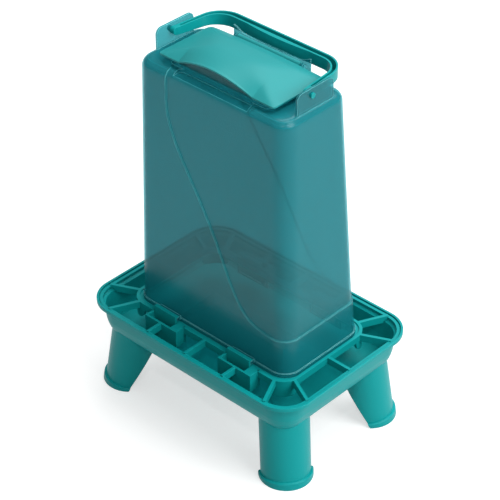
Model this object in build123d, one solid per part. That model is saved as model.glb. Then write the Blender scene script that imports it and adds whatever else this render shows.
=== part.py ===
"""Gravity feeder for poultry: a four-legged pan, a feed saver grid, a hopper, a lid and a handle.

Millimetres. The origin is on the ground under the middle of the pan. +X runs along the pan,
+Y towards the lid's hinge and +Z up. "Front" is the -Y side.
"""

import os
from math import atan2, cos, degrees, exp, hypot, log, pi, radians, sin

from build123d import *

os.makedirs("parts", exist_ok=True)

# Pan
PAN_LENGTH = 400.0
PAN_WIDTH = 276.0
PAN_CORNER = 47.0
RIM_HEIGHT = 152.5
PAN_DEPTH = 54.0
PAN_WALL = 2.5
LIP_WIDTH = 3.2
LIP_HEIGHT = 5.6
SEAT_DROP = 4.0
WALL_INSET = 10.5
FLOOR_INSET = 22.0
RIDGE_HEIGHT = 24.0

# Legs
LEG_RADIUS = 36.0
LEG_WALL = 3.0
LEG_TOP_X = PAN_LENGTH / 2 - 54.0
LEG_TOP_Y = PAN_WIDTH / 2 - 55.0
LEG_FOOT_X = LEG_TOP_X + 12.0
LEG_FOOT_Y = LEG_TOP_Y + 8.0
FOOT_BEAD = 3.4
FOOT_BEAD_HEIGHT = 6.0
LEG_FACING = 42.4
LEG_CUT_SLOPE = 30.0

# Feed grid
RING_LENGTH = PAN_LENGTH - 92.0
RING_WIDTH = PAN_WIDTH - 94.0
RING_CORNER = 29.0
RING_WALL = 4.6
RIB_WIDTH = 4.6
RIB_DEPTH = 11.0
FRAME_INSET = 4.6
FRAME_TOP = 3.6
POST_DEPTH = 33.0
BAY_CENTRE = RING_LENGTH / 2 - 82.0
BAY_WIDTH = 62.0
BAY_REACH = 15.5
BAY_DEPTH = 28.0
TONGUE_WIDTH = 45.0
TONGUE_TOP = 10.0

# Hopper
HOPPER_LENGTH = RING_LENGTH - 15.0
HOPPER_WIDTH = RING_WIDTH - 22.0
HOPPER_TOP_LENGTH = HOPPER_LENGTH - 21.0
HOPPER_TOP_FRONT = HOPPER_WIDTH / 2 - 2.0
HOPPER_TOP_BACK = HOPPER_WIDTH / 2 - 28.0
HOPPER_HEIGHT = 402.0
HOPPER_CORNER = 26.0
HOPPER_WALL = 2.4
SHOULDER_RADIUS = 15.0
CAVITY_CHAMFER = 6.0
PANEL_STEP = 2.0
BELT_HEIGHT = 61.0
EAR_SETTING = HOPPER_TOP_LENGTH / 2 - 10.0
EAR_THICKNESS = 3.0
EAR_TOP = HOPPER_HEIGHT + 30.5

# Lid
LID_LENGTH = HOPPER_TOP_LENGTH - 64.0
LID_FRONT = HOPPER_TOP_FRONT - 15.0
LID_BACK = HOPPER_TOP_BACK - 14.5
LID_EAVE = HOPPER_HEIGHT + 11.5
LID_RISE = 21.0
LID_WALL = 2.2
LID_ARCH_RISE = 16.5
LID_ARCH_HALF = LID_LENGTH / 2 - 38.0
LID_ARCH_BULGE = 5.0
LID_REST = 0.3
PLUG_PLAY = 0.6
PLUG_LOW = HOPPER_HEIGHT + 1.5
HINGE_Y = LID_BACK + 3.5
HINGE_Z = LID_EAVE + 0.5
HINGE_ROD = 1.9
HINGE_BARREL = 3.4
GUARD_FRONT = HINGE_Y + 4.6
GUARD_WALL = 2.2

# Handle
PIVOT_Y = HINGE_Y - 58.0
PIVOT_Z = HOPPER_HEIGHT + 20.0
PEG_RADIUS = 3.15
PEG_PLAY = 0.05
HANDLE_HALF = EAR_SETTING - 8.4
HANDLE_BACK = GUARD_FRONT + 23.0
HANDLE_CORNER = 37.4
LEG_BAR_WIDTH = 7.8
ARM_SPREAD = 0.11
ARM_END_RADIUS = 5.45
GRIP_WIDTH = 12.0
HANDLE_TOP = PIVOT_Z + 5.5
GRIP_DEPTH = 17.0
ARM_DEPTH = 11.5
PALM_SWELL = 3.6
PALM_HALF = 56.0

FLOOR_Z = RIM_HEIGHT - PAN_DEPTH
LEDGE_Z = RIM_HEIGHT - LIP_HEIGHT + 2.0
NECK_Z = RIM_HEIGHT - LIP_HEIGHT - SEAT_DROP
SEAT_Z = RIM_HEIGHT - 2.0


def slab(length, width, corner, low, high, y=0.0):
    """Upright rounded plate between two heights."""
    plate = extrude(RectangleRounded(length, width, corner), high - low)
    return Pos(0, y, low) * plate


def box(x0, x1, y0, y1, z0, z1):
    """Upright block from its two corners."""
    block = Box(x1 - x0, y1 - y0, z1 - z0)
    return Pos((x0 + x1) / 2, (y0 + y1) / 2, (z0 + z1) / 2) * block


def tub(levels):
    """Nest of rounded rectangles, each inset from the pan's outline, joined from level to level."""
    bands = []
    for (inset_a, low), (inset_b, high) in zip(levels, levels[1:]):
        sections = []
        for inset, z in ((inset_a, low), (inset_b, high)):
            length = PAN_LENGTH - 2 * inset
            width = PAN_WIDTH - 2 * inset
            corner = max(PAN_CORNER - inset, 2.0)
            sections.append(Pos(0, 0, z) * RectangleRounded(length, width, corner))
        bands.append(loft(sections, ruled=True))
    whole = bands[0]
    for band in bands[1:]:
        whole = whole + band
    return whole


def crossed(low, high, across, along):
    """Block of four tapering faces: a profile seen from the front crossed with one from the side.

    Each profile gives its two half-widths, minus side then plus side, at the low and high ends.
    """
    (a0, b0), (a1, b1) = across
    (c0, d0), (c1, d1) = along
    front = Plane.XZ * Polygon((-a0, low), (b0, low), (b1, high), (-a1, high), align=None)
    side = Plane.YZ * Polygon((-c0, low), (d0, low), (d1, high), (-c1, high), align=None)
    return extrude(front, amount=300, both=True) & extrude(side, amount=300, both=True)


def bowl_levels(offset):
    """Insets and heights of the bowl's wall from the floor up, moved in by the offset."""
    drop = PAN_DEPTH - LIP_HEIGHT - SEAT_DROP
    low = FLOOR_Z + offset
    steps = [(FLOOR_INSET, 0.0), (19.4, 0.07), (16.9, 0.17), (14.9, 0.30), (13.2, 0.46)]
    levels = []
    for inset, share in steps:
        scaled = WALL_INSET + (inset - WALL_INSET) * (FLOOR_INSET - WALL_INSET) / 11.5
        levels.append((scaled + offset, low + share * (drop - offset)))
    levels.append((WALL_INSET + 1.2 + offset, low + 0.72 * (drop - offset)))
    levels.append((WALL_INSET + offset, NECK_Z))
    return levels


def leg_axis():
    """Leg centre line on the +X -Y side: the foot centre, its lean outwards and its heading."""
    rise = FLOOR_Z
    run = hypot(LEG_FOOT_X - LEG_TOP_X, LEG_FOOT_Y - LEG_TOP_Y)
    lean = degrees(atan2(run, rise))
    heading = degrees(atan2(LEG_TOP_Y - LEG_FOOT_Y, LEG_FOOT_X - LEG_TOP_X))
    return lean, heading


def leaning(radius, low, high):
    """Round bar on the +X -Y leg's centre line, between two distances from the foot centre."""
    lean, heading = leg_axis()
    bar = Pos(0, 0, (low + high) / 2) * Cylinder(radius, high - low)
    return Pos(LEG_FOOT_X, -LEG_FOOT_Y, 0) * Rot(0, 0, heading) * Rot(0, -lean, 0) * bar


def around(piece, side_x, side_y):
    """Copy of a +X -Y corner piece in the corner of the given signs."""
    if side_x < 0:
        piece = mirror(piece, Plane.YZ)
    if side_y > 0:
        piece = mirror(piece, Plane.XZ)
    return piece


# The bowl is a pressed shell. Above its neck a sloping seat flares out to an upstanding lip,
# and the grid's frame lies on the seat. A low ridge on the floor sheds feed to the sides.
throat_inset = WALL_INSET + PAN_WALL


def rim_slab(inset, low, high):
    """Rounded plate set in from the pan's outline."""
    corner = PAN_CORNER - inset
    return slab(PAN_LENGTH - 2 * inset, PAN_WIDTH - 2 * inset, corner, low, high)


bowl_outside = tub(bowl_levels(0.0))
seat_outside = tub([(WALL_INSET, NECK_Z), (1.5, RIM_HEIGHT - LIP_HEIGHT)])
pan = bowl_outside + seat_outside + rim_slab(0, RIM_HEIGHT - LIP_HEIGHT, RIM_HEIGHT)
seat_inside = tub([(throat_inset, NECK_Z), (FRAME_INSET - 0.9, LEDGE_Z)])
pan = pan - tub(bowl_levels(PAN_WALL)) - seat_inside
pan = pan - rim_slab(LIP_WIDTH, LEDGE_Z - 0.01, RIM_HEIGHT + 1)


def ridge(offset):
    """Hipped ridge on the pan's floor, shrunk by the offset."""
    low = FLOOR_Z + PAN_WALL - 0.5 - offset
    high = FLOOR_Z + PAN_WALL + RIDGE_HEIGHT - offset
    foot_x, foot_y = 115 - offset, 52 - offset
    crest_x, crest_y = 75 - offset, 7 - offset / 2
    across = ((foot_x, foot_x), (crest_x, crest_x))
    along = ((foot_y, foot_y), (crest_y, crest_y))
    return crossed(low, high, across, along)


ridge_outside = ridge(0.0)
ridge_outside = fillet(ridge_outside.edges().filter_by(lambda edge: edge.length < 75), 5)
pan = pan + ridge_outside - ridge(PAN_WALL)

# Four round spigots under the bowl hold the legs.
spigot_radius = LEG_RADIUS - LEG_WALL - 0.1
spigot_reach = FLOOR_Z - 14.0
spigot = leaning(spigot_radius, spigot_reach, FLOOR_Z + 12)
spigot = spigot - leaning(spigot_radius - 2.6, spigot_reach - 5, FLOOR_Z + 20)
spigot = spigot & box(0, 400, -300, 0, 0, FLOOR_Z + 0.6)
for side_x in (1, -1):
    for side_y in (-1, 1):
        pan = pan + around(spigot, side_x, side_y)
export_step(pan, "parts/tray_pan.step")

# Each leg is a leaning tube whose head is cut to the bowl's underside. Its inner half is cut
# away on a slope and the outer half stands on a beaded foot.
tube = leaning(LEG_RADIUS, -20, FLOOR_Z + 30)
bead = leaning(LEG_RADIUS + FOOT_BEAD, -20, FOOT_BEAD_HEIGHT)
bead = chamfer(bead.edges().group_by(Axis.Z)[-1], 1.6)
leg = tube + bead - leaning(LEG_RADIUS - LEG_WALL, -40, FLOOR_Z + 40)
leg = leg & box(0, 400, -300, 0, 0, FLOOR_Z + 20)
wedge_plane = Plane(
    origin=(LEG_FOOT_X, -LEG_FOOT_Y, 0),
    x_dir=(sin(radians(LEG_FACING)), cos(radians(LEG_FACING)), 0),
    z_dir=(
        cos(radians(LEG_FACING)) * cos(radians(LEG_CUT_SLOPE)),
        -sin(radians(LEG_FACING)) * cos(radians(LEG_CUT_SLOPE)),
        sin(radians(LEG_CUT_SLOPE)),
    ),
)
wedge = wedge_plane * Pos(0, 0, -150) * Box(300, 300, 300)
leg = leg - (wedge & box(0, 400, -300, 0, -10, RIM_HEIGHT / 2 - 2))
leg = leg - tub(bowl_levels(0.0))
leg = leg.solids().sort_by(SortBy.VOLUME)[-1]
for name, side_x, side_y in (
    ("leg_front_right", 1, -1),
    ("leg_front_left", -1, -1),
    ("leg_rear_right", 1, 1),
    ("leg_rear_left", -1, 1),
):
    export_step(around(leg, side_x, side_y), f"parts/{name}.step")

# The grid's outer frame lies on the pan's ledge and turns down inside the bowl, so beaks
# can't flick feed over the rim.
frame_top = RIM_HEIGHT - 2.0
skirt_inset = throat_inset + 1.0
skirt_low = NECK_Z - 6.0
frame = tub([(skirt_inset, NECK_Z + 0.4), (FRAME_INSET, LEDGE_Z + 0.4)])
frame = frame + rim_slab(FRAME_INSET, LEDGE_Z + 0.4, frame_top)
frame = frame + rim_slab(skirt_inset, skirt_low, NECK_Z + 0.4)
frame = frame - tub([(skirt_inset + 2.0, NECK_Z + 1.4), (FRAME_INSET + FRAME_TOP, frame_top - 0.8)])
frame = frame - rim_slab(FRAME_INSET + FRAME_TOP, frame_top - 0.81, RIM_HEIGHT)
frame = frame - rim_slab(skirt_inset + 2.0, 0, NECK_Z + 1.41)

# The inner ring carries the hopper on a ledge. Its corners run down as posts, and the open
# windows between the posts let the feed out into the pockets.
ring_low = RIM_HEIGHT - RIB_DEPTH
ring = slab(RING_LENGTH, RING_WIDTH, RING_CORNER, RIM_HEIGHT - POST_DEPTH, RIM_HEIGHT)
hole_length = RING_LENGTH - 2 * RING_WALL
hole_width = RING_WIDTH - 2 * RING_WALL
hole_corner = RING_CORNER - RING_WALL
ring = ring - slab(hole_length, hole_width, hole_corner, 0, RIM_HEIGHT + 1)
window_half_x = RING_LENGTH / 2 - RING_CORNER - 4
window_half_y = RING_WIDTH / 2 - RING_CORNER - 2
ring = ring - box(-window_half_x, window_half_x, -200, 200, 0, ring_low)
ring = ring - box(-300, 300, -window_half_y, window_half_y, 0, ring_low)
shelf = slab(hole_length + 1, hole_width + 1, hole_corner, SEAT_Z - 3.0, SEAT_Z)
shelf = shelf - slab(hole_length - 18, hole_width - 22, 14, 0, RIM_HEIGHT + 1)
ring = ring + shelf

half_frame_x = PAN_LENGTH / 2 - FRAME_INSET - 3.0
half_frame_y = PAN_WIDTH / 2 - FRAME_INSET - 3.0
half_ring_x = RING_LENGTH / 2
half_ring_y = RING_WIDTH / 2


def rib(x0, y0, x1, y1):
    """Upright rib between two plan points."""
    length = hypot(x1 - x0, y1 - y0)
    turn = degrees(atan2(y1 - y0, x1 - x0))
    bar = Pos(length / 2, 0, RIB_DEPTH / 2) * Box(length, RIB_WIDTH, RIB_DEPTH)
    return Pos(x0, y0, RIM_HEIGHT - RIB_DEPTH) * Rot(0, 0, turn) * bar


ribs = []
for side_y in (-1, 1):
    ribs.append(rib(0, side_y * (half_ring_y - 2), 0, side_y * (half_frame_y + 1)))
    for side_x in (-1, 1):
        bay_wall = half_ring_y + BAY_REACH - 2
        bay_x = side_x * (BAY_CENTRE + 1)
        corner_x = half_ring_x - 0.75 * RING_CORNER
        corner_y = half_ring_y - 0.75 * RING_CORNER
        ribs.append(rib(bay_x, side_y * bay_wall, bay_x, side_y * (half_frame_y + 1)))
        ribs.append(
            rib(
                side_x * corner_x,
                side_y * (half_ring_y - 2),
                side_x * (corner_x + 20),
                side_y * (half_frame_y + 1),
            )
        )
        ribs.append(
            rib(
                side_x * (half_ring_x - 2),
                side_y * corner_y,
                side_x * (half_frame_x + 1),
                side_y * (corner_y + 20),
            )
        )
for side_x in (-1, 1):
    ribs.append(rib(side_x * (half_ring_x - 2), 0, side_x * (half_frame_x + 1), 0))
rib_limit = rim_slab(skirt_inset + 0.5, 0, RIM_HEIGHT)
rib_limit = rib_limit + tub([(skirt_inset + 0.5, NECK_Z + 1.2), (FRAME_INSET + 1.5, LEDGE_Z + 1.0)])
rib_limit = rib_limit + rim_slab(FRAME_INSET + 1.5, LEDGE_Z + 1.0, RIM_HEIGHT)
grid = frame + ring
for bar in ribs:
    grid = grid + (bar & rib_limit)

# Four bays step out from the ring. In each a springy tongue rises from the bay's floor and
# its barb reaches over a tab on the hopper.
bay_low = RIM_HEIGHT - BAY_DEPTH
bay_out = half_ring_y + BAY_REACH
for side_x in (-1, 1):
    left = side_x * BAY_CENTRE - BAY_WIDTH / 2
    right = side_x * BAY_CENTRE + BAY_WIDTH / 2
    bay = box(left, right, -bay_out, -half_ring_y + RING_WALL, bay_low, RIM_HEIGHT)
    room = box(
        left + 3.2,
        right - 3.2,
        -bay_out + 3.6,
        -half_ring_y + RING_WALL + 1,
        bay_low + 2.5,
        RIM_HEIGHT + 1,
    )
    tongue_low = left + 3.8
    tongue_high = tongue_low + TONGUE_WIDTH
    tongue_y = -half_ring_y - 0.4
    tongue = box(
        tongue_low, tongue_high, tongue_y, tongue_y + 2.6, bay_low + 1, RIM_HEIGHT + TONGUE_TOP
    )
    barb = box(
        tongue_low,
        tongue_high,
        tongue_y,
        tongue_y + 7.6,
        RIM_HEIGHT + TONGUE_TOP - 3.0,
        RIM_HEIGHT + TONGUE_TOP,
    )
    barb = chamfer(barb.edges().filter_by(Axis.X).sort_by(Axis.Y)[-1], 2.0)
    gusset = box(
        tongue_high + 1.2,
        tongue_high + 4.2,
        -bay_out + 2,
        -half_ring_y + RING_WALL - 1,
        bay_low + 1,
        RIM_HEIGHT - 2,
    )
    for side_y in (-1, 1):
        if side_y < 0:
            grid = grid - room + (bay - room) + tongue + barb + gusset
        else:
            copies = [mirror(item, Plane.XZ) for item in (room, bay, tongue, barb, gusset)]
            grid = grid - copies[0] + (copies[1] - copies[0]) + copies[2] + copies[3]
            grid = grid + copies[4]
export_step(grid, "parts/feed_grid.step")


def hopper_shape(inward, raised, low, high):
    """Tapered hopper body, its faces moved in, with a proud lower panel when raised."""
    grow = raised - inward
    span = HOPPER_HEIGHT

    def reach(base_reach, top_reach, z):
        return base_reach + (top_reach - base_reach) * z / span + grow

    across = []
    along = []
    for z in (low, high):
        half = reach(HOPPER_LENGTH / 2, HOPPER_TOP_LENGTH / 2, z)
        across.append((half, half))
        front = reach(HOPPER_WIDTH / 2, HOPPER_TOP_FRONT, z)
        back = reach(HOPPER_WIDTH / 2, HOPPER_TOP_BACK, z)
        along.append((front, back))
    body = crossed(RIM_HEIGHT + low, RIM_HEIGHT + high, across, along)
    uprights = body.edges().filter_by(lambda edge: edge.length > high - low - 1)
    body = fillet(uprights, HOPPER_CORNER + grow)
    rims = body.edges().group_by(Axis.Z)[-1]
    if inward >= HOPPER_WALL:
        return chamfer(rims, CAVITY_CHAMFER)
    return fillet(rims, SHOULDER_RADIUS - inward)


# The body is drawn in from a wide base to a shoulder. A sweeping step crosses the front and
# back from the left of the shoulder down to a belt, and the skin left of it stands proud.
def swept_region():
    """Upright prism, through front and back, left of and below the sweeping step."""
    points = [
        (-78, 358),
        (-76, 336),
        (-66, 305),
        (-42, 262),
        (-2, 196),
        (20, 153),
        (53, 89),
        (75, 67),
        (91.5, BELT_HEIGHT),
        (125, BELT_HEIGHT - 3),
    ]
    wide = HOPPER_LENGTH / 293.0
    tall = HOPPER_HEIGHT / 402.0
    with BuildSketch(Plane.XZ) as sketch:
        with BuildLine():
            curve = Spline(*[(x * wide, RIM_HEIGHT + z * tall) for x, z in points])
            Line((-78 * wide, RIM_HEIGHT + HOPPER_HEIGHT + 28), curve @ 0)
            Polyline(
                curve @ 1,
                (HOPPER_LENGTH, RIM_HEIGHT + (BELT_HEIGHT - 3) * tall),
                (HOPPER_LENGTH, RIM_HEIGHT - 30),
                (-HOPPER_LENGTH, RIM_HEIGHT - 30),
                (-HOPPER_LENGTH, RIM_HEIGHT + HOPPER_HEIGHT + 28),
                (-78 * wide, RIM_HEIGHT + HOPPER_HEIGHT + 28),
            )
        make_face()
    return extrude(sketch.sketch, amount=200, both=True)


base = SEAT_Z - RIM_HEIGHT
region = swept_region()
plain = hopper_shape(PANEL_STEP, 0.0, base, HOPPER_HEIGHT)
proud = hopper_shape(0.0, 0.0, base, HOPPER_HEIGHT) & region
outside = plain + proud
cavity_top = HOPPER_HEIGHT - HOPPER_WALL
plain_in = hopper_shape(PANEL_STEP + HOPPER_WALL, 0.0, base - 1, cavity_top)
proud_in = hopper_shape(HOPPER_WALL, 0.0, base - 1, cavity_top) & region
inside = plain_in + proud_in

hem = slab(HOPPER_LENGTH + 3.2, HOPPER_WIDTH + 3.6, HOPPER_CORNER + 1.6, SEAT_Z, RIM_HEIGHT + 4.5)
body = outside + hem

# Ears rise from the shoulder beside the lid and take the handle's pegs.
ear_low = RIM_HEIGHT + HOPPER_HEIGHT - 12
ear_outline = Pos(PIVOT_Y + 7, (ear_low + RIM_HEIGHT + EAR_TOP) / 2) * Rectangle(
    70, RIM_HEIGHT + EAR_TOP - ear_low
)
ear = extrude(Plane.YZ * ear_outline, amount=EAR_THICKNESS / 2, both=True)
ear = fillet(ear.edges().filter_by(Axis.X).group_by(Axis.Z)[-1], 9.5)
pivot_at = RIM_HEIGHT + PIVOT_Z
bore = Pos(0, PIVOT_Y, pivot_at) * Rot(0, 90, 0) * Cylinder(PEG_RADIUS + PEG_PLAY, 20)
for side_x in (-1, 1):
    body = body + Pos(side_x * EAR_SETTING, 0, 0) * (ear - bore)

# The filler mouth has an upstanding collar. At the front it rises in an arch behind the lid's
# edge, above a recess cut into the shoulder for the fingers that lift the lid.
collar_wall = 2.5
mouth_front = LID_FRONT - 7.5
mouth_back = LID_BACK - 8.0
mouth_length = LID_LENGTH - 28.0
shoulder_z = RIM_HEIGHT + HOPPER_HEIGHT
collar_y = (mouth_back - mouth_front) / 2
mouth_width = mouth_front + mouth_back


def mouth_slab(margin, low, high):
    """Rounded plate around the filler mouth, larger by the margin on every side."""
    length, width = mouth_length + 2 * margin, mouth_width + 2 * margin
    return slab(length, width, 9.5 + margin, low, high, collar_y)


# The lid is a soft hipped pillow whose front edge arches up and out over the finger recess.
# Its height over the eave is the rounded minimum of four slopes and a flat crown.
lid_half = LID_LENGTH / 2


def arch(x, half, sharpness):
    """Share, 0 to 1, of the front arch's rise at x: cos(90 degrees * x / half) ^ sharpness."""
    if abs(x) >= half:
        return 0.0
    return cos(pi / 2 * x / half) ** sharpness


def lid_height(x, y):
    """Height of the lid's top over its eave."""
    into = max(0.0, y + LID_FRONT)
    blur = min(1.0, into / 26.0)
    lift = (1 - blur) * arch(x, LID_ARCH_HALF, 0.85) + blur * arch(x, lid_half, 1.6)
    side = 0.24 * (lid_half - abs(x))
    front = LID_ARCH_RISE * lift * exp(-into / 60.0) + 0.40 * (y + LID_FRONT)
    back = 1.8 * arch(x, lid_half, 2) + 0.50 * (LID_BACK - y)
    soft = 1.6 + 2.2 * min(1.0, max(0.0, into) / 30.0)
    side = side + 6.0 * arch(x, LID_ARCH_HALF + 30, 1.0)
    total = sum(exp(-value / soft) for value in (side, front, back, LID_RISE))
    return -soft * log(total)


columns, rows = 49, 25
spare = 8.0
lid_width = LID_FRONT + LID_BACK
net = []
for i in range(columns):
    x = -lid_half - spare + (LID_LENGTH + 2 * spare) * i / (columns - 1)
    line = []
    for j in range(rows):
        y = -LID_FRONT - spare + (lid_width + 2 * spare) * j / (rows - 1)
        line.append(Vector(x, y, RIM_HEIGHT + LID_EAVE + lid_height(x, y)))
    net.append(line)
crown = Face.make_surface_from_array_of_points(net, tol=0.15, min_deg=3, max_deg=5)
pillow = extrude(crown, amount=-LID_WALL, dir=(0, 0, 1))
under = extrude(crown, amount=-60, dir=(0, 0, 1))

recess_back = -mouth_front - collar_wall
recess_half = LID_ARCH_HALF + 0.5
recess_low = shoulder_z - 5.0
recess = box(-recess_half, recess_half, -120, recess_back, recess_low, 800)
recess = fillet(recess.edges().filter_by(Axis.Z).group_by(Axis.Y)[-1], 5)
recess_skin = box(
    -recess_half - HOPPER_WALL,
    recess_half + HOPPER_WALL,
    -120,
    recess_back + 0.5,
    recess_low - HOPPER_WALL,
    shoulder_z,
)

# Behind the mouth stands a guard with raised ends. Two cheeks carry the lid's hinge rod.
rod_z = RIM_HEIGHT + HINGE_Z
guard_low = shoulder_z - 14
guard_mid = shoulder_z + 15.0
end = LID_LENGTH / 2 - 35.0
with BuildSketch(Plane.XZ) as guard_sketch:
    with BuildLine():
        rise = [(end - 23, 0.0), (end - 15, 1.6), (end - 7, 4.8), (end, 7.5)]
        right = Spline(*[(x, guard_mid + z) for x, z in rise], tangents=((1, 0), (1, 0.2)))
        left = Spline(*[(-x, guard_mid + z) for x, z in rise], tangents=((-1, 0), (-1, 0.2)))
        Line(left @ 0, right @ 0)
        Polyline(right @ 1, (end, guard_low), (-end, guard_low), left @ 1)
    make_face()
guard = Pos(0, GUARD_FRONT, 0) * extrude(guard_sketch.sketch, amount=-GUARD_WALL)
cheeks = []
for side_x in (-1, 1):
    cheek = box(-2, 2, HINGE_Y - 3.5, GUARD_FRONT + 1, shoulder_z - 4, rod_z)
    cheek = cheek + Pos(0, HINGE_Y, rod_z) * Rot(0, 90, 0) * Cylinder(3.5, 4)
    cheeks.append(Pos(side_x * (end - 9), 0, 0) * cheek)
rod = Pos(0, HINGE_Y, rod_z) * Rot(0, 90, 0) * Cylinder(HINGE_ROD, 2 * end - 17)

neck = mouth_slab(collar_wall, recess_low - HOPPER_WALL, shoulder_z)
collar = mouth_slab(collar_wall, shoulder_z - 2, shoulder_z + 60)
collar = collar & (Pos(0, 0, -LID_WALL - LID_REST) * under)
body = body + neck + guard + (recess_skin & outside)
keep_out = inside - neck - recess_skin
body = body - keep_out - recess + collar
body = body - mouth_slab(0, shoulder_z - 30, shoulder_z + 60)
body = body + cheeks[0] + cheeks[1] + rod

# Tabs on the hem slide under the grid's barbs.
for side_x in (-1, 1):
    tab_left = side_x * BAY_CENTRE - BAY_WIDTH / 2 + 5.5
    for side_y in (-1, 1):
        reach = half_ring_y - 2.8
        low_y, high_y = sorted((side_y * (HOPPER_WIDTH / 2 - 1), side_y * reach))
        tab = box(
            tab_left,
            tab_left + TONGUE_WIDTH - 4,
            low_y,
            high_y,
            RIM_HEIGHT + 1.5,
            RIM_HEIGHT + TONGUE_TOP - 3.0,
        )
        body = body + tab
export_step(body, "parts/hopper.step")

# The lid's edge is trimmed to a rounded oblong, and bulges forward along the arch.
lid_y = (LID_BACK - LID_FRONT) / 2
trim = slab(LID_LENGTH, lid_width, 5, 500, 700, lid_y)
bulge_radius = (LID_ARCH_HALF**2 + LID_ARCH_BULGE**2) / (2 * LID_ARCH_BULGE)
bulge = Pos(0, bulge_radius - LID_FRONT - LID_ARCH_BULGE, 600) * Cylinder(bulge_radius, 200)
bulge = bulge & box(-LID_ARCH_HALF, LID_ARCH_HALF, -LID_FRONT - 20, -LID_FRONT + 4, 500, 700)
pillow = pillow & (trim + bulge)

# A shallow plug under the lid drops inside the collar and keeps rain out of the feed. Its
# front wall stands further in, so that it clears the collar as the lid swings up.
plug_front = mouth_front - PLUG_PLAY - 1.2
plug_back = mouth_back - PLUG_PLAY
plug_y = (plug_back - plug_front) / 2


def plug_slab(inward, low, high):
    """Rounded plate inside the mouth, its sides moved in."""
    length = mouth_length - 2 * PLUG_PLAY - 2 * inward
    width = plug_front + plug_back - 2 * inward
    return slab(length, width, 9.0 - inward, low, high, plug_y)


plug = plug_slab(0, RIM_HEIGHT + PLUG_LOW, 640) - plug_slab(2.0, 500, 700)
plug = plug & (Pos(0, 0, -LID_WALL / 2) * under)
lid = pillow + plug

# A long split barrel on the lid's back edge clips on the rod.
barrel = Pos(0, HINGE_Y, rod_z) * Rot(0, 90, 0) * Cylinder(HINGE_BARREL, 2 * end - 26)
web = box(13 - end, end - 13, LID_BACK - 3.5, HINGE_Y, rod_z - 2.6, rod_z + 0.6)
rod_bore = Pos(0, HINGE_Y, rod_z) * Rot(0, 90, 0) * Cylinder(HINGE_ROD + 0.05, 140)
clip_slot = box(12 - end, end - 12, HINGE_Y - 1.7, HINGE_Y + 1.7, rod_z - 12, rod_z)
lid = lid + barrel + web - rod_bore - clip_slot
export_step(lid, "parts/lid.step")


def bail(half, back, corner, low, high, front):
    """Plate in the plan of a bail: arms that spread to the pegs, joined by a bar."""
    bend_y = HANDLE_BACK - HANDLE_CORNER
    start = half + ARM_SPREAD * (bend_y - front)
    end = half + ARM_SPREAD * (bend_y - back)
    plan = Polygon((-start, front), (start, front), (end, back), (-end, back), align=None)
    plate = extrude(Pos(0, 0, low) * plan, high - low)
    return fillet(plate.edges().filter_by(Axis.Z).group_by(Axis.Y)[-1], corner)


# The handle is an upward-open channel bent into a bail, deeper along the grip than at the
# pegs, with a swollen palm side in the middle of the grip.
top_z = RIM_HEIGHT + HANDLE_TOP
arm_end = PIVOT_Y
inner_half = HANDLE_HALF - LEG_BAR_WIDTH
inner_back = HANDLE_BACK - GRIP_WIDTH
inner_corner = HANDLE_CORNER - LEG_BAR_WIDTH
bar_low = top_z - GRIP_DEPTH
solid_bail = bail(HANDLE_HALF, HANDLE_BACK, HANDLE_CORNER, bar_low, top_z, arm_end)
swell_radius = (PALM_HALF**2 + PALM_SWELL**2) / (2 * PALM_SWELL)
swell = Pos(0, inner_back - PALM_SWELL + swell_radius, top_z - GRIP_DEPTH / 2)
swell = swell * Cylinder(swell_radius, GRIP_DEPTH)
swell = swell & box(-PALM_HALF, PALM_HALF, inner_back - 20, inner_back + 3, 500, 700)
gap = bail(inner_half, inner_back, inner_corner, bar_low - 5, top_z + 5, arm_end - 5)
handle = solid_bail - gap + swell
channel = bail(
    HANDLE_HALF - 2.2, HANDLE_BACK - 2.6, HANDLE_CORNER - 2.2, bar_low, top_z + 5, arm_end + 9
)
land = bail(inner_half + 2.0, inner_back + 2.6, inner_corner + 2.0, 500, 700, arm_end - 10)
channel = channel - land
slope_rise = GRIP_DEPTH - ARM_DEPTH
slope_run = inner_back - PIVOT_Y
slope = degrees(atan2(slope_rise, slope_run))
cut_from = Pos(0, PIVOT_Y, top_z - ARM_DEPTH) * Rot(-slope, 0, 0) * Pos(0, 0, -40)
under_cut = cut_from * Box(400, 400, 80)
channel_floor = cut_from * Pos(0, 0, 2.4) * Box(400, 400, 80)
handle = handle - (channel - channel_floor) - under_cut

# Pegs turn in the ears. Each has a boss inside the ear and a round head outside it.
for side_x in (-1, 1):
    outer = HANDLE_HALF + ARM_SPREAD * (HANDLE_BACK - HANDLE_CORNER - PIVOT_Y)
    arm_x = side_x * (outer - 1.5)
    ear_in = side_x * (EAR_SETTING - EAR_THICKNESS / 2 - 0.3)
    ear_out = side_x * (EAR_SETTING + EAR_THICKNESS / 2 + 0.3)
    head_end = ear_out + side_x * 2.2
    for start, end, radius in (
        (arm_x, ear_in, ARM_END_RADIUS - 0.4),
        (arm_x, head_end, PEG_RADIUS),
        (ear_out, head_end, 3.9),
    ):
        pin = Rot(0, 90, 0) * Cylinder(radius, abs(end - start))
        handle = handle + Pos((start + end) / 2, PIVOT_Y, pivot_at) * pin
    end_round = Rot(0, 90, 0) * Cylinder(ARM_END_RADIUS, LEG_BAR_WIDTH - 0.8)
    handle = handle + Pos(side_x * (outer - LEG_BAR_WIDTH / 2), PIVOT_Y, pivot_at) * end_round
export_step(handle, "parts/carry_handle.step")
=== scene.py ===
"""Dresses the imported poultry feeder: plastics, a finer grid and lid, soft light and a camera."""

import math

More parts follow.
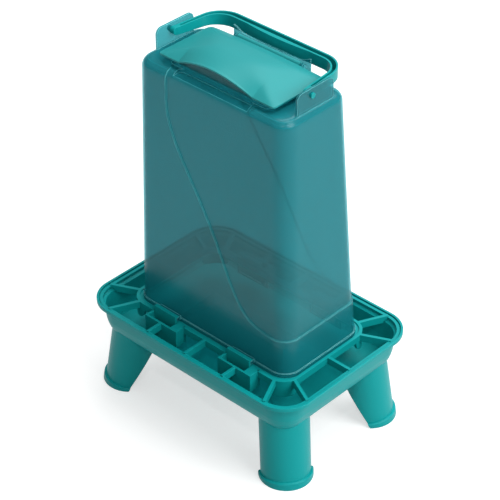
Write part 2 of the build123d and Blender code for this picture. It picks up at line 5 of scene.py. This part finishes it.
import bpy
import numpy as np
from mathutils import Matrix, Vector


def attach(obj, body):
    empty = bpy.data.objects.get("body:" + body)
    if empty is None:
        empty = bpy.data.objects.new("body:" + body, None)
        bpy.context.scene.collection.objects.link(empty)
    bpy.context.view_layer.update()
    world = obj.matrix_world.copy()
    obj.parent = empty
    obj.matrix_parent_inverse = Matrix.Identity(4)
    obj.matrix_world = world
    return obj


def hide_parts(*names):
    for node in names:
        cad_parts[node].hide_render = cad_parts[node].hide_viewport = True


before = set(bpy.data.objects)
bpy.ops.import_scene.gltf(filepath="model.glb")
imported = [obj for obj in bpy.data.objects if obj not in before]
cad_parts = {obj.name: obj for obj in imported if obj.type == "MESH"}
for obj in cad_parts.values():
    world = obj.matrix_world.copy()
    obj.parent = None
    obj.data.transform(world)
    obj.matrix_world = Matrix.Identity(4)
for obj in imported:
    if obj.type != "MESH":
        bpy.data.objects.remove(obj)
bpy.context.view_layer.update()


# Feed pan and legs
# The pan holds the feed that runs out of the hopper, and stands on four splayed tubular legs that
# push on under it. All five are injection-moulded in opaque teal plastic with a fine grain.

# The second colour is a lighter teal, painted on the edges as a highlight.
TEAL, TEAL_PAINTED_HIGHLIGHT = (0.004, 0.335, 0.340), (0.01, 0.47, 0.47)
EDGE_ROUNDING = 0.0007
EDGE_STARTS, EDGE_FULL = 0.985, 0.92
GRAIN_CELLS, GRAIN_DETAIL, GRAIN_HEIGHT = 900.0, 2.0, 0.0003


def moulded_plastic(name, colour, painted_highlight_colour, roughness, specular, grain):
    """Moulded plastic: one colour, a painted highlight on the edges and a fine spark-eroded grain.

    The normal turns over EDGE_ROUNDING metres at an edge. The grain is noise in Object
    coordinates, which lifts the surface by height = grain * GRAIN_HEIGHT * noise. The painted
    highlight colour comes in where the rounded normal r leaves the face's own normal n:
    share = (EDGE_STARTS - r.n) / (EDGE_STARTS - EDGE_FULL), held between 0 and 1.
    """
    material = bpy.data.materials.new(name)
    material.use_nodes = True
    nodes, links = material.node_tree.nodes, material.node_tree.links
    shader = nodes["Principled BSDF"]
    shader.inputs["Roughness"].default_value = roughness
    shader.inputs["Specular IOR Level"].default_value = specular

    edge = nodes.new("ShaderNodeBevel")
    edge.samples = 6
    edge.inputs["Radius"].default_value = EDGE_ROUNDING
    place = nodes.new("ShaderNodeTexCoord")
    noise = nodes.new("ShaderNodeTexNoise")
    noise.inputs["Scale"].default_value = GRAIN_CELLS
    noise.inputs["Detail"].default_value = GRAIN_DETAIL
    bump = nodes.new("ShaderNodeBump")
    bump.inputs["Strength"].default_value = grain
    bump.inputs["Distance"].default_value = GRAIN_HEIGHT
    links.new(place.outputs["Object"], noise.inputs["Vector"])
    links.new(noise.outputs["Fac"], bump.inputs["Height"])
    links.new(edge.outputs["Normal"], bump.inputs["Normal"])
    links.new(bump.outputs["Normal"], shader.inputs["Normal"])

    # Painted highlight: the lighter edge colour is blended in where the rounded normal leaves the
    # face's.
    face = nodes.new("ShaderNodeNewGeometry")
    agree = nodes.new("ShaderNodeVectorMath")
    agree.operation = "DOT_PRODUCT"
    share = nodes.new("ShaderNodeMapRange")
    share.name = "painted_highlight_share"
    share.inputs["From Min"].default_value = EDGE_STARTS
    share.inputs["From Max"].default_value = EDGE_FULL
    blend = nodes.new("ShaderNodeMix")
    blend.data_type = "RGBA"
    blend.inputs["A"].default_value = (*colour, 1.0)
    blend.inputs["B"].default_value = (*painted_highlight_colour, 1.0)
    links.new(edge.outputs["Normal"], agree.inputs[0])
    links.new(face.outputs["Normal"], agree.inputs[1])
    links.new(agree.outputs["Value"], share.inputs["Value"])
    links.new(share.outputs["Result"], blend.inputs["Factor"])
    links.new(blend.outputs["Result"], shader.inputs["Base Color"])
    return material


def dress(node, material):
    """Gives every material slot of a CAD node one material."""
    item = bpy.data.objects[node]
    if not item.data.materials:
        item.data.materials.append(material)
    for slot in item.material_slots:
        slot.material = material


teal = moulded_plastic("teal_plastic", TEAL, TEAL_PAINTED_HIGHLIGHT, roughness=0.38, specular=0.13, grain=0.10)
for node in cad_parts:
    if node == "tray_pan" or node.startswith("leg_"):
        dress(node, teal)


# Feed saver grid
# The grid keeps the hens from raking feed out. It is one moulding of the pan's teal plastic: a
# thin frame on the pan's seat, sixteen ribs, a ring with four corner posts whose ledge carries the
# hopper, and four bays with sprung tongues. It clips to the hopper and lifts out with it.

RIM = 0.1525
QUARTER_POINTS = 25
PAN_HALF_X, PAN_HALF_Y, PAN_CORNER = 0.200, 0.138, 0.047
FRAME_OUTSIDE, FRAME_INSIDE, FRAME_TOP = 0.0046, 0.0092, RIM - 0.002
FRAME_LOW_OUTSIDE, FRAME_LOW_INSIDE = RIM - 0.0032, RIM - 0.0061
RING_HALF_X, RING_HALF_Y, RING_CORNER, RING_WALL = 0.154, 0.091, 0.029, 0.0046
LEDGE_OUTSIDE, LEDGE_INSIDE, LEDGE_TOP, LEDGE_LOW = 0.0042, 0.014, RIM - 0.002, RIM - 0.005
POST_LOW, POST_ROUND, POST_POINT = RIM - 0.0265, 0.013, 0.002
WINDOW_X, WINDOW_Y, WINDOW_STEP = 0.121, 0.060, 1e-5
RIB_WIDTH, RIB_LOW, RIB_END, RIB_ROOT, RIB_SPLAY = 0.0046, RIM - 0.011, 0.0066, 0.002, 0.020
RIB_CUT, RIB_CUT_HIGH, RIB_CUT_LOW = 0.0079, RIM - 0.003, RIM - 0.0084
RIB_CORNER_SHARE = 0.75
BAY_CENTRE, BAY_HALF, BAY_OUT, BAY_LOW = 0.072, 0.031, 0.1065, RIM - 0.028
BAY_SIDE, BAY_FLOOR, BAY_RIB = 0.0034, 0.0025, 0.001
TONGUE_WIDTH, TONGUE_WALL, TONGUE_TOP = 0.0425, 0.0026, RIM + 0.010
TONGUE_START, TONGUE_PROUD = 0.0038, 0.0004
BARB_REACH, BARB_DEPTH, BARB_BEVEL = 0.0076, 0.003, 0.002
GUSSET_GAP, GUSSET_WEB, GUSSET_FLANGE = 0.0012, 0.003, 0.0026
SUNK_ROOT = 0.001
# These small steps keep the faces of two joined shells out of one plane.
UNDER_RIM, OVER_EDGE = RIM - 5e-5, 2e-4
TOUCH = 1e-6


def oblong(half_x, half_y, corner, marks_x=(), marks_y=()):
    """Closed path round a rounded oblong, anticlockwise, and its outward normals.

    A corner is centre + corner * (cos a, sin a) over a quarter turn. The marks are extra points
    on the straight sides, at their signed distance from the middle.
    """
    points, outward = [], []
    for quarter in range(4):
        angle = np.linspace(0.0, np.pi / 2, QUARTER_POINTS) + quarter * np.pi / 2
        arc = np.stack([np.cos(angle), np.sin(angle)], 1)
        centre = np.sign(arc[QUARTER_POINTS // 2]) * (half_x - corner, half_y - corner)
        reach, half, marks = (
            (half_y - corner, half_x, marks_y)
            if quarter % 2
            else (half_x - corner, half_y, marks_x)
        )
        along = np.sort([mark for mark in marks if abs(mark) < reach]).reshape(-1, 1)
        travel = np.array([-arc[-1, 1], arc[-1, 0]])
        points += [centre + corner * arc, along * travel + half * arc[-1]]
        outward += [arc, np.tile(arc[-1], (len(along), 1))]
    return np.concatenate(points), np.concatenate(outward)


def carried(path, outward, section, closed=True):
    """Profile carried along a plan path: point = path - inset * outward, at its height.

    The section runs outside low, outside high, inside high, inside low, as (inset, height).
    """
    count, sides = len(path), len(section)
    points = np.empty((count, sides, 3))
    for side, (inset, height) in enumerate(section):
        points[:, side, :2] = path - inset * outward
        points[:, side, 2] = height
    index = np.arange(count * sides).reshape(count, sides)
    ahead = np.roll(index, -1, 0)
    quads = np.stack([index, ahead, np.roll(ahead, -1, 1), np.roll(index, -1, 1)], -1)
    faces = quads if closed else quads[:-1]
    faces = faces.reshape(-1, 4).tolist()
    if not closed:
        faces += [index[0].tolist(), index[-1, ::-1].tolist()]
    return points.reshape(-1, 3), faces


def prism(outline, along):
    """Flat outline drawn out along a straight line, its faces turned outwards.

    The outline's vector area, half the sum of p x next p, says which way it runs.
    """
    outline, along = np.array(outline, float), np.array(along, float)
    if np.cross(outline, np.roll(outline, -1, 0)).sum(0) @ along > 0:
        outline = outline[::-1]
    count = len(outline)
    near = np.arange(count)
    after = np.roll(near, -1)
    faces = np.stack([near, near + count, after + count, after], 1).tolist()
    faces += [near.tolist(), (near[::-1] + count).tolist()]
    return np.concatenate([outline, outline + along]), faces


def block(x, y, z):
    """Straight block between two x, two y and two z values."""
    outline = [(x[0], y[0], z[0]), (x[1], y[0], z[0]), (x[1], y[1], z[0]), (x[0], y[1], z[0])]
    return prism(outline, (0, 0, z[1] - z[0]))


def moulding(name, shells, material):
    """One mesh of several closed shells, each as its points and its faces."""
    points, faces, start = [], [], 0
    for shell_points, shell_faces in shells:
        points.append(shell_points)
        faces += [[start + corner for corner in face] for face in shell_faces]
        start += len(shell_points)
    mesh = bpy.data.meshes.new(name)
    mesh.from_pydata(np.concatenate(points).tolist(), [], faces)
    mesh.materials.append(material)
    item = bpy.data.objects.new(name, mesh)
    bpy.context.collection.objects.link(item)
    return item


def frame_shell():
    """The thin frame: a bar round the pan, deeper at its inner face than at its outer one."""
    path, outward = oblong(PAN_HALF_X, PAN_HALF_Y, PAN_CORNER)
    outside = (FRAME_OUTSIDE, FRAME_LOW_OUTSIDE), (FRAME_OUTSIDE, FRAME_TOP)
    inside = (FRAME_INSIDE, FRAME_TOP), (FRAME_INSIDE, FRAME_LOW_INSIDE)
    return carried(path, outward, (*outside, *inside))


def ring_shells():
    """The ring's wall in four stretches, open at the bays, and the ledge inside it.

    The wall's lower edge runs at rib depth, and drops to the posts' foot at the corners along a
    quarter circle: foot + r - sqrt(r^2 - d^2), where d is the distance left to the round's end.
    """
    bay_starts = BAY_CENTRE - BAY_HALF + BAY_SIDE / 2
    bay_ends = BAY_CENTRE + BAY_HALF - BAY_SIDE / 2
    marks_x = (bay_starts, bay_ends, WINDOW_X - WINDOW_STEP, WINDOW_X, WINDOW_X + POST_POINT)
    marks_y = (WINDOW_Y - WINDOW_STEP, WINDOW_Y)
    both = [[sign * mark for mark in marks for sign in (-1, 1)] for marks in (marks_x, marks_y)]
    path, outward = oblong(RING_HALF_X, RING_HALF_Y, RING_CORNER, *both)
    low = np.full(len(path), POST_LOW)
    for axis, half in enumerate((WINDOW_X, WINDOW_Y)):
        place = np.abs(path[:, axis])
        left = np.clip(half + POST_ROUND - place, 0, POST_ROUND)
        curve = POST_LOW + POST_ROUND - np.sqrt(POST_ROUND**2 - left**2)
        low = np.maximum(low, np.where(place < half - WINDOW_STEP / 2, RIB_LOW, curve))
    shells = []
    for way in ((1, 0), (0, 1), (-1, 0), (0, -1)):
        ahead = path @ way
        aside = path @ (-way[1], way[0])
        between = (ahead > 0) & (np.abs(aside) < bay_starts + TOUCH)
        kept = np.flatnonzero(ahead > bay_ends - TOUCH if way[0] else between)
        order = kept[np.argsort(np.arctan2(aside[kept], ahead[kept]))]
        section = (0.0, low[order]), (0.0, RIM), (RING_WALL, RIM), (RING_WALL, low[order])
        shells.append(carried(path[order], outward[order], section, closed=False))
    outside = (LEDGE_OUTSIDE, LEDGE_LOW), (LEDGE_OUTSIDE, LEDGE_TOP)
    inside = (LEDGE_INSIDE, LEDGE_TOP), (LEDGE_INSIDE, LEDGE_LOW)
    return [*shells, carried(path, outward, (*outside, *inside))]


def rib(start, end):
    """Upright rib between two plan points, its outer end cut back below to clear the seat."""
    start, end = np.array(start), np.array(end)
    length = np.linalg.norm(end - start)
    ahead = (end - start) / length
    width = RIB_WIDTH * np.array([-ahead[1], ahead[0], 0.0])
    profile = [(0, RIB_LOW), (0, UNDER_RIM), (length, UNDER_RIM), (length, RIB_CUT_HIGH)]
    profile += [(length - RIB_CUT, RIB_CUT_LOW), (length - RIB_CUT, RIB_LOW)]
    outline = [(*(start + u * ahead), height) for u, height in profile]
    return prism(np.array(outline) - width / 2, width)


def rib_shells():
    """Sixteen ribs: one in the middle of each side, one at each bay and two at each corner."""
    out_x, out_y = PAN_HALF_X - RIB_END, PAN_HALF_Y - RIB_END
    in_x, in_y = RING_HALF_X - RIB_ROOT, RING_HALF_Y - RIB_ROOT
    set_back = RIB_CORNER_SHARE * RING_CORNER
    corner_x, corner_y = RING_HALF_X - set_back, RING_HALF_Y - set_back
    splayed_x, splayed_y = corner_x + RIB_SPLAY, corner_y + RIB_SPLAY
    bay_x = BAY_CENTRE + BAY_RIB
    shells = []
    for sy in (-1, 1):
        shells.append(rib((0, sy * in_y), (0, sy * out_y)))
        for sx in (-1, 1):
            shells.append(rib((sx * bay_x, sy * (BAY_OUT - RIB_ROOT)), (sx * bay_x, sy * out_y)))
            shells.append(rib((sx * corner_x, sy * in_y), (sx * splayed_x, sy * out_y)))
            shells.append(rib((sx * in_x, sy * corner_y), (sx * out_x, sy * splayed_y)))
    for sx in (-1, 1):
        shells.append(rib((sx * in_x, 0), (sx * out_x, 0)))
    return shells


def bay_shells(sx, sy):
    """One bay: a wall carried round three sides, a floor, the tongue with its barb, a gusset."""
    left, right = sx * BAY_CENTRE - BAY_HALF, sx * BAY_CENTRE + BAY_HALF
    inner, half_wall = RING_HALF_Y - RING_WALL, BAY_SIDE / 2
    outer = BAY_OUT - half_wall
    path = np.array([(left, -inner), (left, -BAY_OUT), (right, -BAY_OUT), (right, -inner)])
    outward = np.array([(-1.0, 0.0), (-1.0, -1.0), (1.0, -1.0), (1.0, 0.0)])
    if sy > 0:
        path, outward = path[::-1] * (1, -1), outward[::-1] * (1, -1)
    section = (0.0, BAY_LOW), (0.0, RIM), (BAY_SIDE, RIM), (BAY_SIDE, BAY_LOW)
    wall = carried(path, outward, section, closed=False)

    floor_top = BAY_LOW + BAY_FLOOR
    floor_across = (left + half_wall, right - half_wall)
    floor = block(floor_across, (sy * outer, sy * inner), (BAY_LOW + OVER_EDGE, floor_top))

    foot, catch = floor_top - SUNK_ROOT, TONGUE_TOP - BARB_DEPTH
    back = RING_HALF_Y + TONGUE_PROUD
    front, tip = back - TONGUE_WALL, back - BARB_REACH
    profile = [(back, foot), (back, TONGUE_TOP), (tip + BARB_BEVEL, TONGUE_TOP)]
    profile += [(tip, TONGUE_TOP - BARB_BEVEL), (tip, catch), (front, catch), (front, foot)]
    start = left + TONGUE_START
    tongue = prism([(start, sy * y, z) for y, z in profile], (TONGUE_WIDTH, 0, 0))

    near, far = start + TONGUE_WIDTH + GUSSET_GAP, right - half_wall
    under = UNDER_RIM - GUSSET_FLANGE
    profile = [(near, foot), (near, UNDER_RIM), (far, UNDER_RIM), (far, under)]
    profile += [(near + GUSSET_WEB, under), (near + GUSSET_WEB, foot)]
    inwards = inner + SUNK_ROOT - outer
    gusset = prism([(x, sy * outer, z) for x, z in profile], (0, sy * inwards, 0))
    return [wall, floor, tongue, gusset]


shells = [frame_shell(), *ring_shells(), *rib_shells()]
for sx in (-1, 1):
    for sy in (-1, 1):
        shells += bay_shells(sx, sy)
grid = moulding("feed_saver_grid", shells, teal)
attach(grid, "feed_head")
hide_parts("feed_grid")
dress("feed_grid", teal)


# Hopper
# The hopper holds the feed and shows how much is left. It is one hollow moulding of smoky
# see-through teal plastic, open below, that the grid's tongues hold by its hem. Its walls let the
# light through. Its edges look denser, seen through their length, and carry a painted highlight.

# The second colour is a pale teal, painted on the edges as a highlight.
CLEAR, CLEAR_PAINTED_HIGHLIGHT = (0.016, 0.290, 0.325), (0.30, 0.95, 0.97)
CLEAR_TINT, WALL_COVER, EDGE_COVER = (0.36, 0.78, 0.82), 0.42, 0.85


def see_through(material, tint, cover, edge_cover):
    """Lets light through a plastic: seen = cover * plastic + (1 - cover) * tint * what is behind.

    The cover goes up to edge_cover with the share of the material's painted edge highlight.
    """
    nodes, links = material.node_tree.nodes, material.node_tree.links
    through = nodes.new("ShaderNodeBsdfTransparent")
    through.inputs["Color"].default_value = (*tint, 1.0)
    thicker = nodes.new("ShaderNodeMapRange")
    thicker.inputs["To Min"].default_value = cover
    thicker.inputs["To Max"].default_value = edge_cover
    blend = nodes.new("ShaderNodeMixShader")
    links.new(nodes["painted_highlight_share"].outputs["Result"], thicker.inputs["Value"])
    links.new(thicker.outputs["Result"], blend.inputs["Fac"])
    links.new(through.outputs["BSDF"], blend.inputs[1])
    links.new(nodes["Principled BSDF"].outputs["BSDF"], blend.inputs[2])
    links.new(blend.outputs["Shader"], nodes["Material Output"].inputs["Surface"])


clear = moulded_plastic("clear_plastic", CLEAR, CLEAR_PAINTED_HIGHLIGHT, roughness=0.22, specular=0.5, grain=0.0)
see_through(clear, CLEAR_TINT, WALL_COVER, EDGE_COVER)
dress("hopper", clear)


# Lid
# The lid keeps rain out and lifts for filling. It is one opaque moulding: a hipped pillow whose
# front arches over the finger recess, a plug that drops in the mouth, and a barrel on the rod.

# The second colour is a lighter teal, painted on the edges as a highlight.
LID_TEAL, LID_TEAL_PAINTED_HIGHLIGHT = (0.022, 0.31, 0.32), (0.03, 0.42, 0.43)
LID_HALF, LID_FRONT, LID_BACK, LID_CORNER = 0.104, -0.063, 0.0375, 0.005
LID_EAVE, LID_WALL, LID_CROWN = RIM + 0.4135, 0.0022, 0.0245
LID_COLUMNS, LID_ROWS, LID_CROWDING, LID_SHARP_ANGLE = 157, 71, 1.25, math.radians(35)
SIDE_SLOPE, FRONT_SLOPE, FRONT_SLOPE_DROP = 0.34, 0.60, 0.42
BACK_STEEP, BACK_LIP, BACK_SLOPE, BACK_BOW = 0.5, 0.0050, 0.270, 0.0018
CREASE, CREASE_GROWTH, CREASE_REACH = 0.0013, 0.0013, 0.030
ARCH_HALF, ARCH_RISE, ARCH_BULGE, ARCH_FULLNESS = 0.066, 0.0165, 0.005, 0.85
PLUG_HALF, PLUG_FRONT, PLUG_BACK, PLUG_LOW = 0.0894, -0.0537, 0.0289, RIM + 0.4035
PLUG_CORNER, PLUG_WALL, PLUG_MARKS = 0.009, 0.002, np.linspace(-0.078, 0.078, 27)
ROD_Y, ROD_Z = 0.041, RIM + 0.414
BARREL_HALF, BARREL_RADIUS, BORE_RADIUS, SLOT_HALF = 0.056, 0.0034, 0.00195, 0.0017
BARREL_POINTS = 33
WEB_HALF, WEB_FRONT, WEB_BACK = 0.0555, LID_BACK - 0.0035, ROD_Y - 0.0022
WEB_LOW, WEB_HIGH = ROD_Z - 0.0026, ROD_Z + 0.0005


def arch(x, half, fullness):
    """Share of the arch's rise at x: cos(quarter turn * x / half) ^ fullness, nothing past it."""
    return np.cos(np.pi / 2 * np.clip(x / half, -1, 1)) ** fullness


def lid_top(x, y):
    """Height of the lid's outer face: the rounded minimum of its slopes and its flat crown.

    Rounded minimum of values v = -r * log(sum of exp(-v / r)), with r growing from the front.
    """
    into = np.maximum(y - LID_FRONT, 0.0)
    middle = arch(x, ARCH_HALF, ARCH_FULLNESS)
    behind = LID_BACK - y
    side = SIDE_SLOPE * (LID_HALF - np.abs(x))
    front = ARCH_RISE * middle + into * (FRONT_SLOPE - FRONT_SLOPE_DROP * middle)
    back = np.minimum(BACK_STEEP * behind, BACK_LIP + BACK_SLOPE * behind)
    back = BACK_BOW * arch(x, LID_HALF, 2) + back
    slopes = np.stack([side, front, back, np.full_like(x, LID_CROWN)])
    soft = CREASE + CREASE_GROWTH * np.minimum(into / CREASE_REACH, 1.0)
    return LID_EAVE - soft * np.log(np.exp(-slopes / soft).sum(0))


def lid_shell():
    """The pillow: its top face on a grid of across and front-to-back shares, and LID_WALL below.

    The front edge bulges forward along the arch by bulge * (1 - (x / half)^2), and each plan
    corner is a quarter circle: set back = r - sqrt(r^2 - d^2), where d is the distance into it.
    """
    across = np.linspace(-LID_HALF, LID_HALF, LID_COLUMNS)
    share = np.linspace(0.0, 1.0, LID_ROWS) ** LID_CROWDING
    round_off = np.clip(np.abs(across) - (LID_HALF - LID_CORNER), 0, LID_CORNER)
    set_back = LID_CORNER - np.sqrt(LID_CORNER**2 - round_off**2)
    bulge = ARCH_BULGE * np.clip(1 - (across / ARCH_HALF) ** 2, 0, 1)
    front, back = LID_FRONT + set_back - bulge, LID_BACK - set_back
    x = np.repeat(across[:, None], LID_ROWS, 1)
    y = front[:, None] + (back - front)[:, None] * share
    top = np.stack([x, y, lid_top(x, y)], 2).reshape(-1, 3)
    under = top - (0.0, 0.0, LID_WALL)
    index = np.arange(len(top)).reshape(x.shape)
    quads = np.stack([index[:-1, :-1], index[1:, :-1], index[1:, 1:], index[:-1, 1:]], -1)
    quads = quads.reshape(-1, 4)
    rim = np.concatenate([index[:-1, 0], index[-1, :-1], index[:0:-1, -1], index[0, :0:-1]])
    after = np.roll(rim, -1)
    edge = np.stack([rim, rim + len(top), after + len(top), after], 1)
    faces = np.concatenate([quads, quads[:, ::-1] + len(top), edge])
    return np.concatenate([top, under]), faces.tolist()


def plug_shell():
    """The plug's wall: a rounded oblong whose upper edge follows the pillow, half way into it."""
    half_y = (PLUG_BACK - PLUG_FRONT) / 2
    path, outward = oblong(PLUG_HALF, half_y, PLUG_CORNER, PLUG_MARKS, PLUG_MARKS)
    path = path + (0.0, (PLUG_FRONT + PLUG_BACK) / 2)
    high = [lid_top(*(path - inset * outward).T) - LID_WALL / 2 for inset in (0.0, PLUG_WALL)]
    section = (0.0, PLUG_LOW), (0.0, high[0]), (PLUG_WALL, high[1]), (PLUG_WALL, PLUG_LOW)
    return carried(path, outward, section)


def barrel_shells():
    """The split barrel on the back edge, and the web that joins it to the pillow.

    The barrel's outline is an outer arc and a bore arc, both open below by the slot's half width.
    """
    outline = []
    for radius, way in ((BARREL_RADIUS, 1), (BORE_RADIUS, -1)):
        gap = math.asin(SLOT_HALF / radius)
        angle = np.linspace(gap, 2 * np.pi - gap, BARREL_POINTS)[::way] - np.pi / 2
        y, z = ROD_Y + radius * np.cos(angle), ROD_Z + radius * np.sin(angle)
        outline.append(np.stack([np.full_like(y, -BARREL_HALF), y, z], 1))
    barrel = prism(np.concatenate(outline), (2 * BARREL_HALF, 0, 0))
    web = block((-WEB_HALF, WEB_HALF), (WEB_FRONT, WEB_BACK), (WEB_LOW, WEB_HIGH))
    return [barrel, web]


lid_teal = moulded_plastic(
    "lid_plastic", LID_TEAL, LID_TEAL_PAINTED_HIGHLIGHT, roughness=0.40, specular=0.20, grain=0.10
)
pillow = moulding("lid_pillow", [lid_shell(), plug_shell(), *barrel_shells()], lid_teal)
pillow.data.shade_smooth()
pillow.data.set_sharp_from_angle(angle=LID_SHARP_ANGLE)
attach(pillow, "lid")
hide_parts("lid")
dress("lid", lid_teal)


# Carry handle
# The bail handle carries the feeder, and rests folded back and level round the lid. It is one
# channel-shaped moulding of the pan's teal plastic, whose two pegs snap into the hopper's ears.

dress("carry_handle", teal)


# Floor, light and camera
# A matt pale studio floor and even surroundings, lit by three soft boxes, and the camera fitted to
# the photograph. None of this belongs to the feeder.

FLOOR_SIDE, FLOOR_COLOUR = 40, (0.58, 0.58, 0.58)
GLOW_STARTS, GLOW_FULL, NEAR_GLOW, FAR_GLOW = 1.2, 5.0, 0.60, 1.0
WHITE = (1.0, 1.0, 1.0, 1.0)
SKY_STRENGTH = 0.28
CAMERA_TURN, CAMERA_TILT, CAMERA_DISTANCE = math.radians(43.078), math.radians(35.587), 2.71835
CAMERA_TARGET, CAMERA_LENS, CAMERA_SENSOR = Vector((0.003542, 0.0, 0.262798)), 139.124, 36.0


def studio_floor():
    """A matt pale floor that fills the whole view.

    It glows only as seen, straight or in a reflection, so no light from it falls on the feeder.
    The glow rises from NEAR_GLOW to FAR_GLOW with the distance from the middle, because the lamps
    reach less and less of the floor.
    """
    bpy.ops.mesh.primitive_plane_add(size=FLOOR_SIDE, location=(0, 0, 0))
    floor = bpy.context.object
    floor.name = "studio_floor"
    pale = bpy.data.materials.new("pale_floor")
    pale.use_nodes = True
    nodes, links = pale.node_tree.nodes, pale.node_tree.links
    shader = nodes["Principled BSDF"]
    shader.inputs["Base Color"].default_value = (*FLOOR_COLOUR, 1.0)
    shader.inputs["Roughness"].default_value = 1.0
    shader.inputs["Specular IOR Level"].default_value = 0.0
    shader.inputs["Emission Color"].default_value = WHITE
    path = nodes.new("ShaderNodeLightPath")
    seen = path.outputs["Is Camera Ray"]
    for kind in ("Is Glossy Ray", "Is Transmission Ray"):
        either = nodes.new("ShaderNodeMath")
        either.operation = "MAXIMUM"
        links.new(seen, either.inputs[0])
        links.new(path.outputs[kind], either.inputs[1])
        seen = either.outputs["Value"]
    place = nodes.new("ShaderNodeTexCoord")
    distance = nodes.new("ShaderNodeVectorMath")
    distance.operation = "LENGTH"
    level = nodes.new("ShaderNodeMapRange")
    level.inputs["From Min"].default_value = GLOW_STARTS
    level.inputs["From Max"].default_value = GLOW_FULL
    level.inputs["To Min"].default_value = NEAR_GLOW
    level.inputs["To Max"].default_value = FAR_GLOW
    glow = nodes.new("ShaderNodeMath")
    glow.operation = "MULTIPLY"
    links.new(place.outputs["Object"], distance.inputs[0])
    links.new(distance.outputs["Value"], level.inputs["Value"])
    links.new(seen, glow.inputs[0])
    links.new(level.outputs["Result"], glow.inputs[1])
    links.new(glow.outputs["Value"], shader.inputs["Emission Strength"])
    floor.data.materials.append(pale)


def soft_box(name, position, target, size, power):
    """A square area light at position that faces target."""
    data = bpy.data.lights.new(name, "AREA")
    data.size = size
    data.energy = power
    lamp = bpy.data.objects.new(name, data)
    bpy.context.collection.objects.link(lamp)
    lamp.location = position
    aim = Vector(target) - Vector(position)
    lamp.rotation_euler = aim.to_track_quat("-Z", "Y").to_euler()


def studio_light():
    """A large key box high on the right, a wide top box, a small near box and a dim even sky."""
    soft_box("key_box", position=(3.4, 0.6, 3.0), target=(0, 0, 0.25), size=3.0, power=160)
    soft_box("top_box", position=(-0.2, 1.7, 3.9), target=(0, 0, 0.2), size=3.6, power=120)
    soft_box("near_box", position=(1.45, -1.75, 2.9), target=(0, 0, 0.4), size=0.18, power=11)
    world = bpy.data.worlds.new("studio_world")
    world.use_nodes = True
    sky = world.node_tree.nodes["Background"]
    sky.inputs["Color"].default_value = WHITE
    sky.inputs["Strength"].default_value = SKY_STRENGTH
    bpy.context.scene.world = world
    bpy.context.scene.view_settings.view_transform = "Standard"


def photo_camera():
    """The camera fitted to the photograph.

    It stands at target + distance * (sin turn * cos tilt, -cos turn * cos tilt, sin tilt).
    """
    plan = math.cos(CAMERA_TILT)
    side, front = math.sin(CAMERA_TURN) * plan, math.cos(CAMERA_TURN) * plan
    back = Vector((side, -front, math.sin(CAMERA_TILT)))
    data = bpy.data.cameras.new("photo_camera")
    data.lens = CAMERA_LENS
    data.sensor_width = CAMERA_SENSOR
    camera = bpy.data.objects.new("photo_camera", data)
    camera.location = CAMERA_TARGET + back * CAMERA_DISTANCE
    camera.rotation_euler = (-back).to_track_quat("-Z", "Y").to_euler()
    bpy.context.collection.objects.link(camera)
    bpy.context.scene.camera = camera


studio_floor()
studio_light()
photo_camera()
